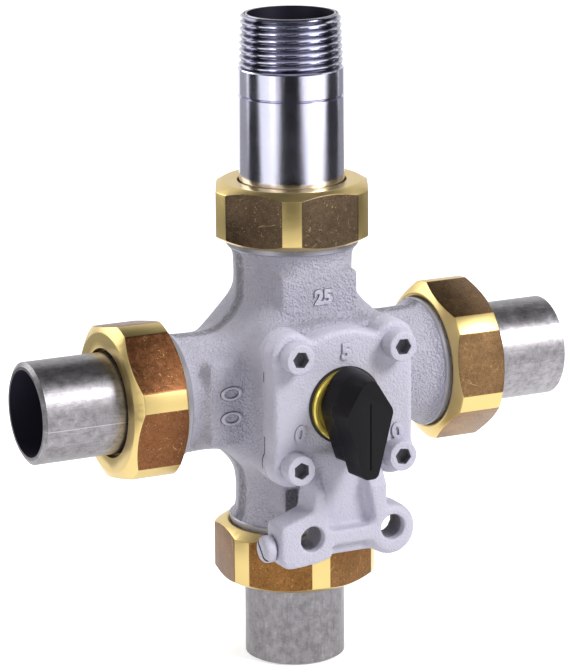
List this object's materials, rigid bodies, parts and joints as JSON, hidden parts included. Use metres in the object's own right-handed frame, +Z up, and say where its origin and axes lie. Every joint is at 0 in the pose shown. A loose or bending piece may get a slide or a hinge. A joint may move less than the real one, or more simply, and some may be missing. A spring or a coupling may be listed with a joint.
{
  "type": "four-way rotary mixing valve",
  "caption": "Cast rotary mixing valve with union connections on all sides, a front cover with an actuator bracket and a pointer knob on the spindle.",
  "frame": {"origin": "centre of the lower connection's free end, on that connection's axis", "axes": "+Z up through the lower and upper connections; -Y towards the cover and knob; +X towards the right connection"},
  "size_m": [0.1926, 0.0869, 0.2197],
  "materials": {
    "casting_paint": "light grey satin paint over cast iron",
    "painted_screw": "light grey satin paint over steel",
    "nut_brass": "pressed brass, turned bright on corners and faces",
    "gland_brass": "turned bright brass",
    "bush_brass": "turned brass",
    "spindle_brass": "turned brass",
    "vane_brass": "cast and machined brass",
    "pipe_steel": "dull drawn steel",
    "machined_steel": "bright turned steel",
    "pin_steel": "ground steel",
    "knob_plastic": "black moulded plastic",
    "washer_plastic": "natural acetal",
    "seal_rubber": "black rubber",
    "gasket_fibre": "pressed fibre sheet"
  },
  "bodies": {
    "body": {"valve_body": "casting_paint", "cover_plate": "casting_paint", "cover_gasket": "gasket_fibre", "clamp_screw": "painted_screw", "gland_bush": "gland_brass", "gland_seal": "seal_rubber", "rear_bush": "bush_brass", "thrust_washer": "washer_plastic", "threaded_nipple": "machined_steel", "weld_nipple_right": "pipe_steel", "weld_nipple_bottom": "pipe_steel", "weld_nipple_left": "pipe_steel", "cover_screw_upper_left": "painted_screw", "cover_screw_upper_right": "painted_screw", "cover_screw_lower_left": "painted_screw", "cover_screw_lower_right": "painted_screw", "union_gasket_top": "gasket_fibre", "union_gasket_right": "gasket_fibre", "union_gasket_bottom": "gasket_fibre", "union_gasket_left": "gasket_fibre"},
    "rotor": {"spindle": "spindle_brass", "rotor_vane": "vane_brass", "rotor_pin": "pin_steel", "knob": "knob_plastic", "spindle_seal_inner": "seal_rubber", "spindle_seal_outer": "seal_rubber"},
    "nut_top": {"union_nut_top": "nut_brass"},
    "nut_right": {"union_nut_right": "nut_brass"},
    "nut_bottom": {"union_nut_bottom": "nut_brass"},
    "nut_left": {"union_nut_left": "nut_brass"}
  },
  "joints": [
    {"name": "spindle_turn", "type": "hinge", "parent": "body", "child": "rotor", "pos_m": [0, 0, 0.0963], "axis": [0, 1, 0], "range_deg": [-45, 45]},
    {"name": "nut_top_turn", "type": "hinge", "parent": "body", "child": "nut_top", "pos_m": [0, 0, 0.0963], "axis": [0, 0, 1], "continuous": true},
    {"name": "nut_right_turn", "type": "hinge", "parent": "body", "child": "nut_right", "pos_m": [0, 0, 0.0963], "axis": [1, 0, 0], "continuous": true},
    {"name": "nut_bottom_turn", "type": "hinge", "parent": "body", "child": "nut_bottom", "pos_m": [0, 0, 0.0963], "axis": [0, 0, -1], "continuous": true},
    {"name": "nut_left_turn", "type": "hinge", "parent": "body", "child": "nut_left", "pos_m": [0, 0, 0.0963], "axis": [-1, 0, 0], "continuous": true}
  ]
}
